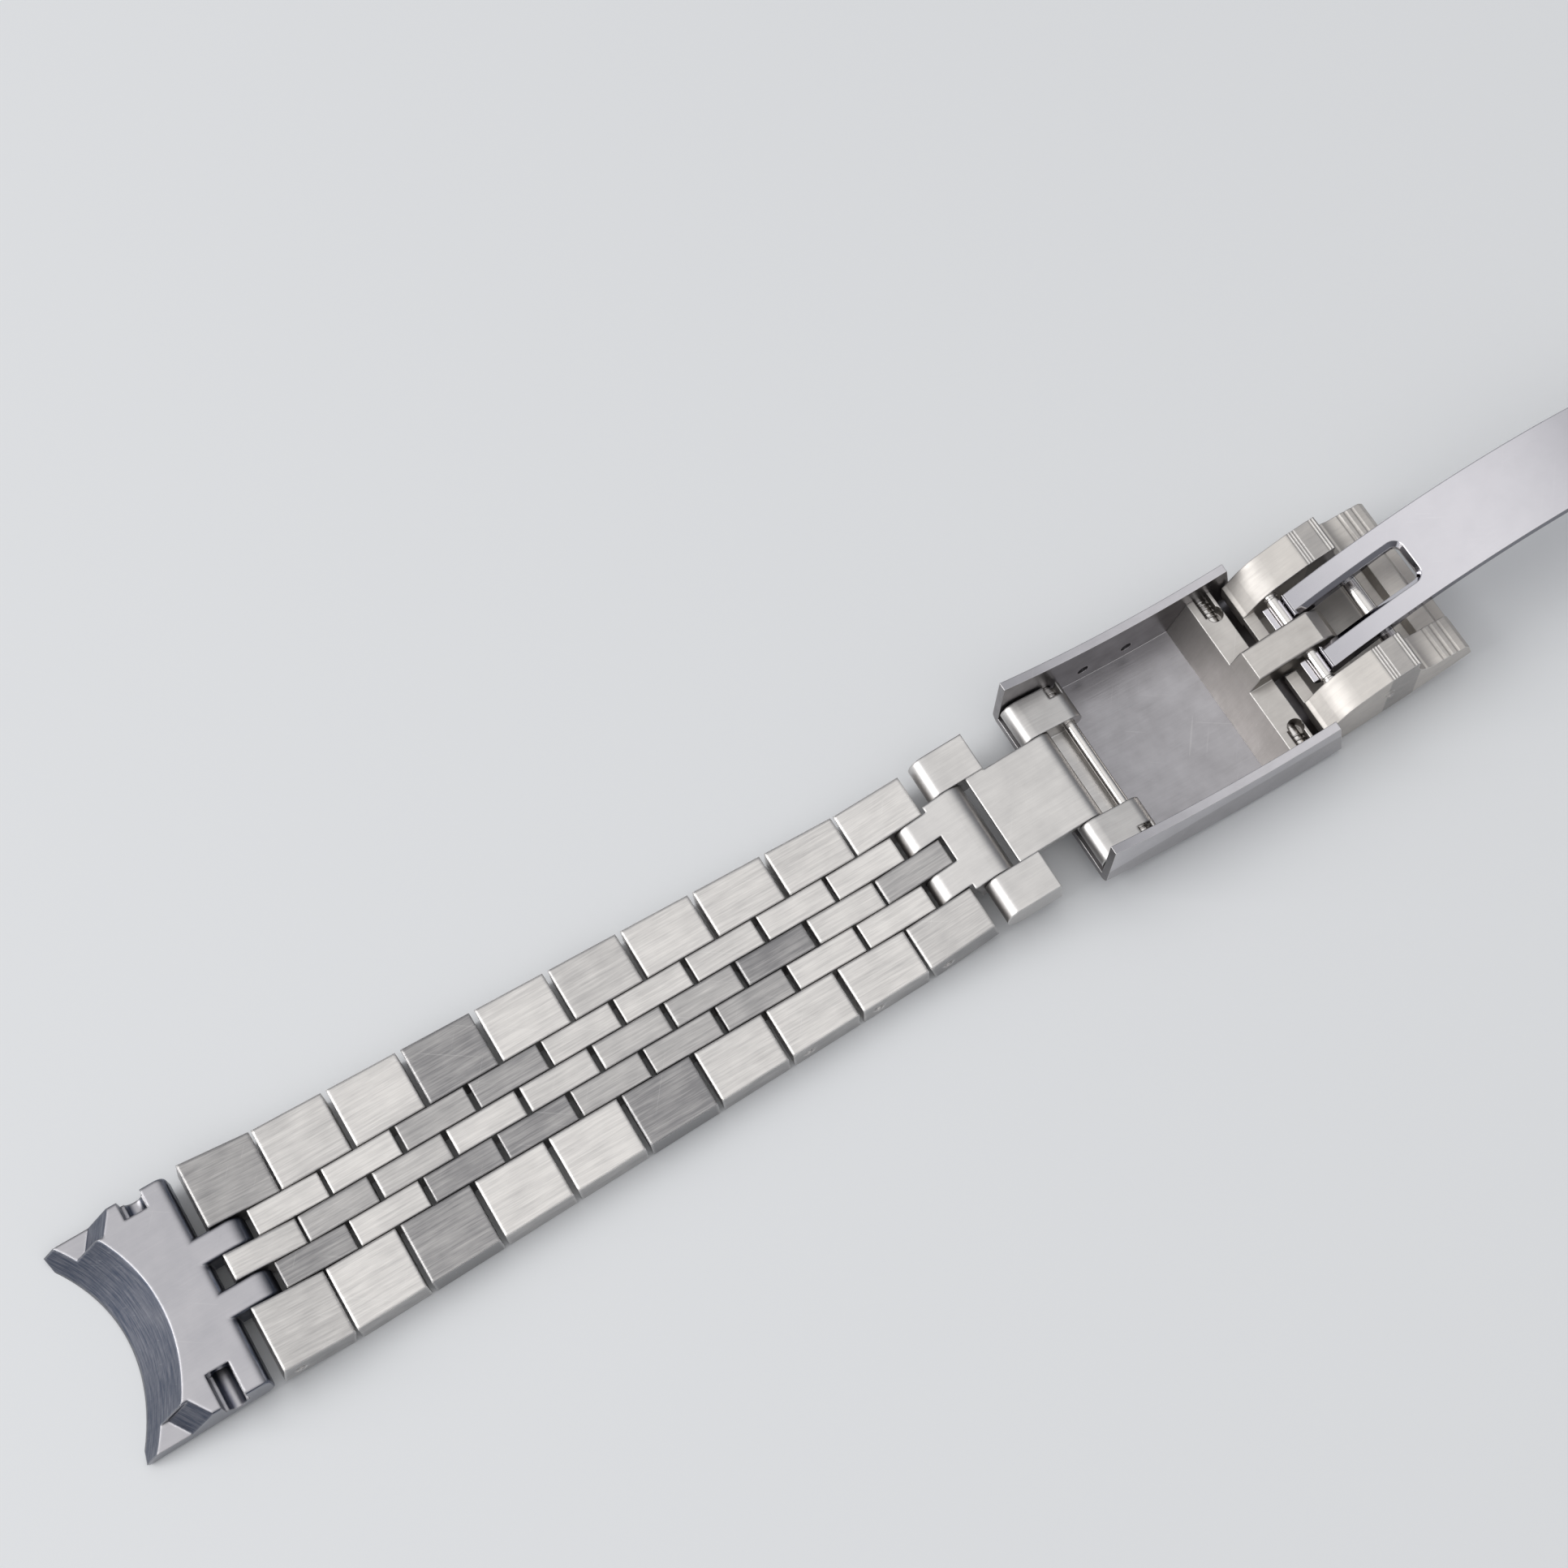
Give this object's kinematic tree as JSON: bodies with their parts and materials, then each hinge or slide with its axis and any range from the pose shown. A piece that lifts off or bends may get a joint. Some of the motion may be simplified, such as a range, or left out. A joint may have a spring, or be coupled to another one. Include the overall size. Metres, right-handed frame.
{
  "type": "watch bracelet",
  "caption": "Five link steel watch bracelet, opened flat: solid curved end links, hinged link rows, folding blade clasp with release lever and fold-away extension.",
  "frame": {"origin": "middle of the opened bracelet's length and width, on the plane it lies on", "axes": "+X along the bracelet from the long half's end link to the short half's, +Y across it, +Z the skin side, up"},
  "size_m": [0.2814, 0.0202, 0.0138],
  "materials": {
    "links": "brushed lengthwise inside, rounded and polished outside",
    "end_links": "satin",
    "cast_steel": "matte, blasted",
    "cover_steel": "satin inside, brushed outside",
    "lever_steel": "matte inside, machined ridges",
    "blade_steel": "mirror polished",
    "pin_steel": "polished",
    "extension_steel": "brushed"
  },
  "bodies": {
    "cover": {"clasp_cover": "cover_steel", "hinge_block": "cast_steel", "block_bar": "pin_steel", "blade_hinge_pin": "pin_steel", "cover_spring_bar": "pin_steel"},
    "lever": {"release_lever": "lever_steel", "roller_bar": "pin_steel"},
    "first_blade": {"first_blade": "blade_steel"},
    "second_blade": {"second_blade": "blade_steel", "fold_pin": "pin_steel", "catch": "cast_steel"},
    "clevis_link": {"clevis_link": "links", "clevis_pin": "pin_steel"},
    "carrier": {"extension_carrier": "extension_steel", "carrier_pin": "pin_steel"},
    "extension_link": {"extension_link": "extension_steel", "extension_pin": "pin_steel"},
    "fork_link": {"fork_link": "links"},
    "row_long_10": {"row_long_10": "links"},
    "pair_long_09": {"pair_long_09": "links"},
    "row_long_09": {"row_long_09": "links"},
    "pair_long_08": {"pair_long_08": "links"},
    "row_long_08": {"row_long_08": "links"},
    "pair_long_07": {"pair_long_07": "links"},
    "row_long_07": {"row_long_07": "links"},
    "pair_long_06": {"pair_long_06": "links"},
    "row_long_06": {"row_long_06": "links"},
    "pair_long_05": {"pair_long_05": "links"},
    "row_long_05": {"row_long_05": "links"},
    "pair_long_04": {"pair_long_04": "links"},
    "row_long_04": {"row_long_04": "links"},
    "pair_long_03": {"pair_long_03": "links"},
    "row_long_03": {"row_long_03": "links"},
    "pair_long_02": {"pair_long_02": "links"},
    "row_long_02": {"row_long_02": "links"},
    "pair_long_01": {"pair_long_01": "links"},
    "row_long_01": {"row_long_01": "links"},
    "end_link_long": {"end_link_long": "end_links"},
    "row_short_09": {"row_short_09": "links"},
    "pair_short_08": {"pair_short_08": "links"},
    "row_short_08": {"row_short_08": "links"},
    "pair_short_07": {"pair_short_07": "links"},
    "row_short_07": {"row_short_07": "links"},
    "pair_short_06": {"pair_short_06": "links"},
    "row_short_06": {"row_short_06": "links"},
    "pair_short_05": {"pair_short_05": "links"},
    "row_short_05": {"row_short_05": "links"},
    "pair_short_04": {"pair_short_04": "links"},
    "row_short_04": {"row_short_04": "links"},
    "pair_short_03": {"pair_short_03": "links"},
    "row_short_03": {"row_short_03": "links"},
    "pair_short_02": {"pair_short_02": "links"},
    "row_short_02": {"row_short_02": "links"},
    "pair_short_01": {"pair_short_01": "links"},
    "row_short_01": {"row_short_01": "links"},
    "end_link_short": {"end_link_short": "end_links"}
  },
  "joints": [
    {"name": "lever_lift", "type": "hinge", "parent": "cover", "child": "lever", "pos_m": [-0.02085, 0, 0.00573], "axis": [0, -1, 0], "range_deg": [-22, 0]},
    {"name": "first_blade_fold", "type": "hinge", "parent": "cover", "child": "first_blade", "pos_m": [-0.02085, 0, 0.00573], "axis": [0, -1, 0], "range_deg": [0, 159.46]},
    {"name": "second_blade_fold", "type": "hinge", "parent": "first_blade", "child": "second_blade", "pos_m": [0.01213, 0, 0.01143], "axis": [0, 1, 0], "range_deg": [0, 153.22]},
    {"name": "clevis_turn", "type": "hinge", "parent": "second_blade", "child": "clevis_link", "pos_m": [0.05972, 0, 0.00315], "axis": [0, -1, 0], "range_deg": [-10, 20]},
    {"name": "extension_stow", "type": "hinge", "parent": "cover", "child": "carrier", "pos_m": [-0.04181, 0, 0.0037], "axis": [0, -1, 0], "range_deg": [-160, 0]},
    {"name": "extension_fold", "type": "hinge", "parent": "carrier", "child": "extension_link", "pos_m": [-0.04527, 0, 0.0042], "axis": [0, 1, 0], "range_deg": [-142.01, 0]},
    {"name": "fork_turn", "type": "hinge", "parent": "extension_link", "child": "fork_link", "pos_m": [-0.05455, 0, 0.00354], "axis": [0, 1, 0], "range_deg": [-8, 18]},
    {"name": "turn_row_long_10", "type": "hinge", "parent": "fork_link", "child": "row_long_10", "pos_m": [-0.05855, 0, 0.00246], "axis": [0, 1, 0], "range_deg": [-14, 4]},
    {"name": "turn_pair_long_09", "type": "hinge", "parent": "row_long_10", "child": "pair_long_09", "pos_m": [-0.06205, 0, 0.00185], "axis": [0, 1, 0], "range_deg": [-15, 3]},
    {"name": "turn_row_long_09", "type": "hinge", "parent": "pair_long_09", "child": "row_long_09", "pos_m": [-0.06559, 0, 0.0016], "axis": [0, 1, 0], "range_deg": [-13, 5]},
    {"name": "turn_pair_long_08", "type": "hinge", "parent": "row_long_09", "child": "pair_long_08", "pos_m": [-0.06914, 0, 0.0016], "axis": [0, 1, 0], "range_deg": [-9, 9]},
    {"name": "turn_row_long_08", "type": "hinge", "parent": "pair_long_08", "child": "row_long_08", "pos_m": [-0.07269, 0, 0.0016], "axis": [0, 1, 0], "range_deg": [-9, 9]},
    {"name": "turn_pair_long_07", "type": "hinge", "parent": "row_long_08", "child": "pair_long_07", "pos_m": [-0.07624, 0, 0.0016], "axis": [0, 1, 0], "range_deg": [-9, 9]},
    {"name": "turn_row_long_07", "type": "hinge", "parent": "pair_long_07", "child": "row_long_07", "pos_m": [-0.07979, 0, 0.0016], "axis": [0, 1, 0], "range_deg": [-9, 9]},
    {"name": "turn_pair_long_06", "type": "hinge", "parent": "row_long_07", "child": "pair_long_06", "pos_m": [-0.08334, 0, 0.0016], "axis": [0, 1, 0], "range_deg": [-9, 9]},
    {"name": "turn_row_long_06", "type": "hinge", "parent": "pair_long_06", "child": "row_long_06", "pos_m": [-0.08689, 0, 0.0016], "axis": [0, 1, 0], "range_deg": [-9, 9]},
    {"name": "turn_pair_long_05", "type": "hinge", "parent": "row_long_06", "child": "pair_long_05", "pos_m": [-0.09044, 0, 0.0016], "axis": [0, 1, 0], "range_deg": [-9, 9]},
    {"name": "turn_row_long_05", "type": "hinge", "parent": "pair_long_05", "child": "row_long_05", "pos_m": [-0.09399, 0, 0.0016], "axis": [0, 1, 0], "range_deg": [-9, 9]},
    {"name": "turn_pair_long_04", "type": "hinge", "parent": "row_long_05", "child": "pair_long_04", "pos_m": [-0.09754, 0, 0.0016], "axis": [0, 1, 0], "range_deg": [-9, 9]},
    {"name": "turn_row_long_04", "type": "hinge", "parent": "pair_long_04", "child": "row_long_04", "pos_m": [-0.10109, 0, 0.0016], "axis": [0, 1, 0], "range_deg": [-9, 9]},
    {"name": "turn_pair_long_03", "type": "hinge", "parent": "row_long_04", "child": "pair_long_03", "pos_m": [-0.10464, 0, 0.0016], "axis": [0, 1, 0], "range_deg": [-9, 9]},
    {"name": "turn_row_long_03", "type": "hinge", "parent": "pair_long_03", "child": "row_long_03", "pos_m": [-0.10819, 0, 0.0016], "axis": [0, 1, 0], "range_deg": [-9, 9]},
    {"name": "turn_pair_long_02", "type": "hinge", "parent": "row_long_03", "child": "pair_long_02", "pos_m": [-0.11174, 0, 0.0016], "axis": [0, 1, 0], "range_deg": [-9, 9]},
    {"name": "turn_row_long_02", "type": "hinge", "parent": "pair_long_02", "child": "row_long_02", "pos_m": [-0.11529, 0, 0.0016], "axis": [0, 1, 0], "range_deg": [-9, 9]},
    {"name": "turn_pair_long_01", "type": "hinge", "parent": "row_long_02", "child": "pair_long_01", "pos_m": [-0.11884, 0, 0.0016], "axis": [0, 1, 0], "range_deg": [-14, 4]},
    {"name": "turn_row_long_01", "type": "hinge", "parent": "pair_long_01", "child": "row_long_01", "pos_m": [-0.12238, 0, 0.00191], "axis": [0, 1, 0], "range_deg": [-15, 3]},
    {"name": "turn_end_link_long", "type": "hinge", "parent": "row_long_01", "child": "end_link_long", "pos_m": [-0.12586, 0, 0.00259], "axis": [0, 1, 0], "range_deg": [-3, 25]},
    {"name": "turn_row_short_09", "type": "hinge", "parent": "clevis_link", "child": "row_short_09", "pos_m": [0.06561, 0, 0.002], "axis": [0, -1, 0], "range_deg": [-15, 3]},
    {"name": "turn_pair_short_08", "type": "hinge", "parent": "row_short_09", "child": "pair_short_08", "pos_m": [0.06914, 0, 0.00169], "axis": [0, -1, 0], "range_deg": [-12.5, 5.5]},
    {"name": "turn_row_short_08", "type": "hinge", "parent": "pair_short_08", "child": "row_short_08", "pos_m": [0.07269, 0, 0.0016], "axis": [0, -1, 0], "range_deg": [-10.5, 7.5]},
    {"name": "turn_pair_short_07", "type": "hinge", "parent": "row_short_08", "child": "pair_short_07", "pos_m": [0.07624, 0, 0.0016], "axis": [0, -1, 0], "range_deg": [-9, 9]},
    {"name": "turn_row_short_07", "type": "hinge", "parent": "pair_short_07", "child": "row_short_07", "pos_m": [0.07979, 0, 0.0016], "axis": [0, -1, 0], "range_deg": [-9, 9]},
    {"name": "turn_pair_short_06", "type": "hinge", "parent": "row_short_07", "child": "pair_short_06", "pos_m": [0.08334, 0, 0.0016], "axis": [0, -1, 0], "range_deg": [-9, 9]},
    {"name": "turn_row_short_06", "type": "hinge", "parent": "pair_short_06", "child": "row_short_06", "pos_m": [0.08689, 0, 0.0016], "axis": [0, -1, 0], "range_deg": [-9, 9]},
    {"name": "turn_pair_short_05", "type": "hinge", "parent": "row_short_06", "child": "pair_short_05", "pos_m": [0.09044, 0, 0.0016], "axis": [0, -1, 0], "range_deg": [-9, 9]},
    {"name": "turn_row_short_05", "type": "hinge", "parent": "pair_short_05", "child": "row_short_05", "pos_m": [0.09399, 0, 0.0016], "axis": [0, -1, 0], "range_deg": [-9, 9]},
    {"name": "turn_pair_short_04", "type": "hinge", "parent": "row_short_05", "child": "pair_short_04", "pos_m": [0.09754, 0, 0.0016], "axis": [0, -1, 0], "range_deg": [-9, 9]},
    {"name": "turn_row_short_04", "type": "hinge", "parent": "pair_short_04", "child": "row_short_04", "pos_m": [0.10109, 0, 0.0016], "axis": [0, -1, 0], "range_deg": [-9, 9]},
    {"name": "turn_pair_short_03", "type": "hinge", "parent": "row_short_04", "child": "pair_short_03", "pos_m": [0.10464, 0, 0.0016], "axis": [0, -1, 0], "range_deg": [-9, 9]},
    {"name": "turn_row_short_03", "type": "hinge", "parent": "pair_short_03", "child": "row_short_03", "pos_m": [0.10819, 0, 0.0016], "axis": [0, -1, 0], "range_deg": [-9, 9]},
    {"name": "turn_pair_short_02", "type": "hinge", "parent": "row_short_03", "child": "pair_short_02", "pos_m": [0.11174, 0, 0.0016], "axis": [0, -1, 0], "range_deg": [-9, 9]},
    {"name": "turn_row_short_02", "type": "hinge", "parent": "pair_short_02", "child": "row_short_02", "pos_m": [0.11529, 0, 0.0016], "axis": [0, -1, 0], "range_deg": [-9, 9]},
    {"name": "turn_pair_short_01", "type": "hinge", "parent": "row_short_02", "child": "pair_short_01", "pos_m": [0.11884, 0, 0.0016], "axis": [0, -1, 0], "range_deg": [-14, 4]},
    {"name": "turn_row_short_01", "type": "hinge", "parent": "pair_short_01", "child": "row_short_01", "pos_m": [0.12238, 0, 0.00191], "axis": [0, -1, 0], "range_deg": [-15, 3]},
    {"name": "turn_end_link_short", "type": "hinge", "parent": "row_short_01", "child": "end_link_short", "pos_m": [0.12586, 0, 0.00259], "axis": [0, -1, 0], "range_deg": [-3, 25]}
  ],
  "couplings": [
    {"joint": "second_blade_fold", "follows": "first_blade_fold", "ratio": 0.96083},
    {"joint": "extension_fold", "follows": "extension_stow", "ratio": 0.8875}
  ]
}
